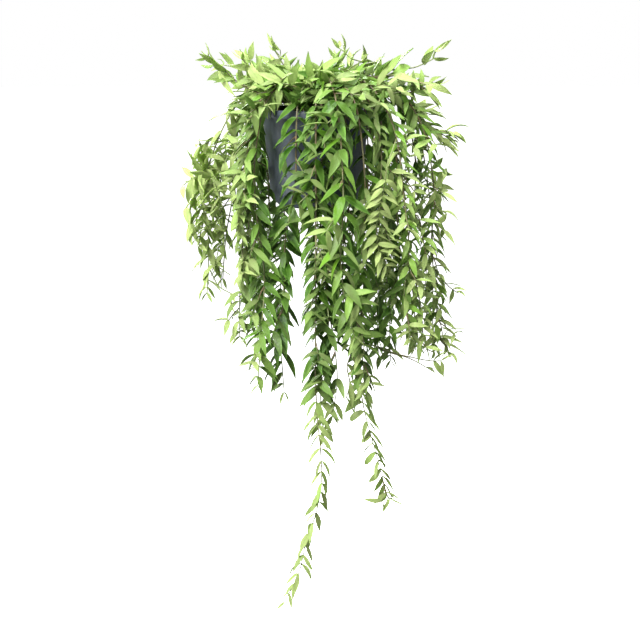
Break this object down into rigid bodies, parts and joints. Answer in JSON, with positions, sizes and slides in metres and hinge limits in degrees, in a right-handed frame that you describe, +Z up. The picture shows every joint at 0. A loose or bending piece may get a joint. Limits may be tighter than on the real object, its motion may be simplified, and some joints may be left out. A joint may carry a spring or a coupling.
{
  "type": "potted trailing plant",
  "caption": "Round tapered hanging pot filled with soil, with a mound of leafy stems that arch over the lip and trail far below the base.",
  "frame": {"origin": "centre of the pot in the plane of its lip's underside, where a hanger carries it", "axes": "+Z up along the pot's axis; -Y is the plant's front"},
  "size_m": [0.3761, 0.3359, 0.8109],
  "materials": {
    "pot_plastic": "satin",
    "potting_mix": "matte",
    "foliage": "satin"
  },
  "bodies": {
    "root": {"pot": "pot_plastic", "soil": "potting_mix", "inner_stem_01": "foliage", "inner_stem_02": "foliage", "inner_stem_03": "foliage", "inner_stem_04": "foliage", "inner_stem_05": "foliage", "inner_stem_06": "foliage", "inner_stem_07": "foliage", "inner_stem_08": "foliage", "inner_stem_09": "foliage", "inner_stem_10": "foliage", "inner_stem_11": "foliage", "inner_stem_12": "foliage", "middle_stem_01": "foliage", "middle_stem_02": "foliage", "middle_stem_03": "foliage", "middle_stem_04": "foliage", "middle_stem_05": "foliage", "middle_stem_06": "foliage", "middle_stem_07": "foliage", "middle_stem_08": "foliage", "middle_stem_09": "foliage", "middle_stem_10": "foliage", "middle_stem_11": "foliage", "middle_stem_12": "foliage", "outer_stem_01": "foliage", "outer_stem_02": "foliage", "outer_stem_03": "foliage", "outer_stem_04": "foliage", "outer_stem_05": "foliage", "outer_stem_06": "foliage", "outer_stem_07": "foliage", "outer_stem_08": "foliage", "outer_stem_09": "foliage", "outer_stem_10": "foliage", "upright_stem_01": "foliage", "upright_stem_02": "foliage", "upright_stem_03": "foliage", "upright_stem_04": "foliage", "upright_stem_05": "foliage", "upright_stem_06": "foliage", "upright_stem_07": "foliage", "upright_stem_08": "foliage", "upright_stem_09": "foliage", "upright_stem_10": "foliage", "upright_stem_11": "foliage", "upright_stem_12": "foliage", "upright_stem_13": "foliage"}
  },
  "joints": []
}
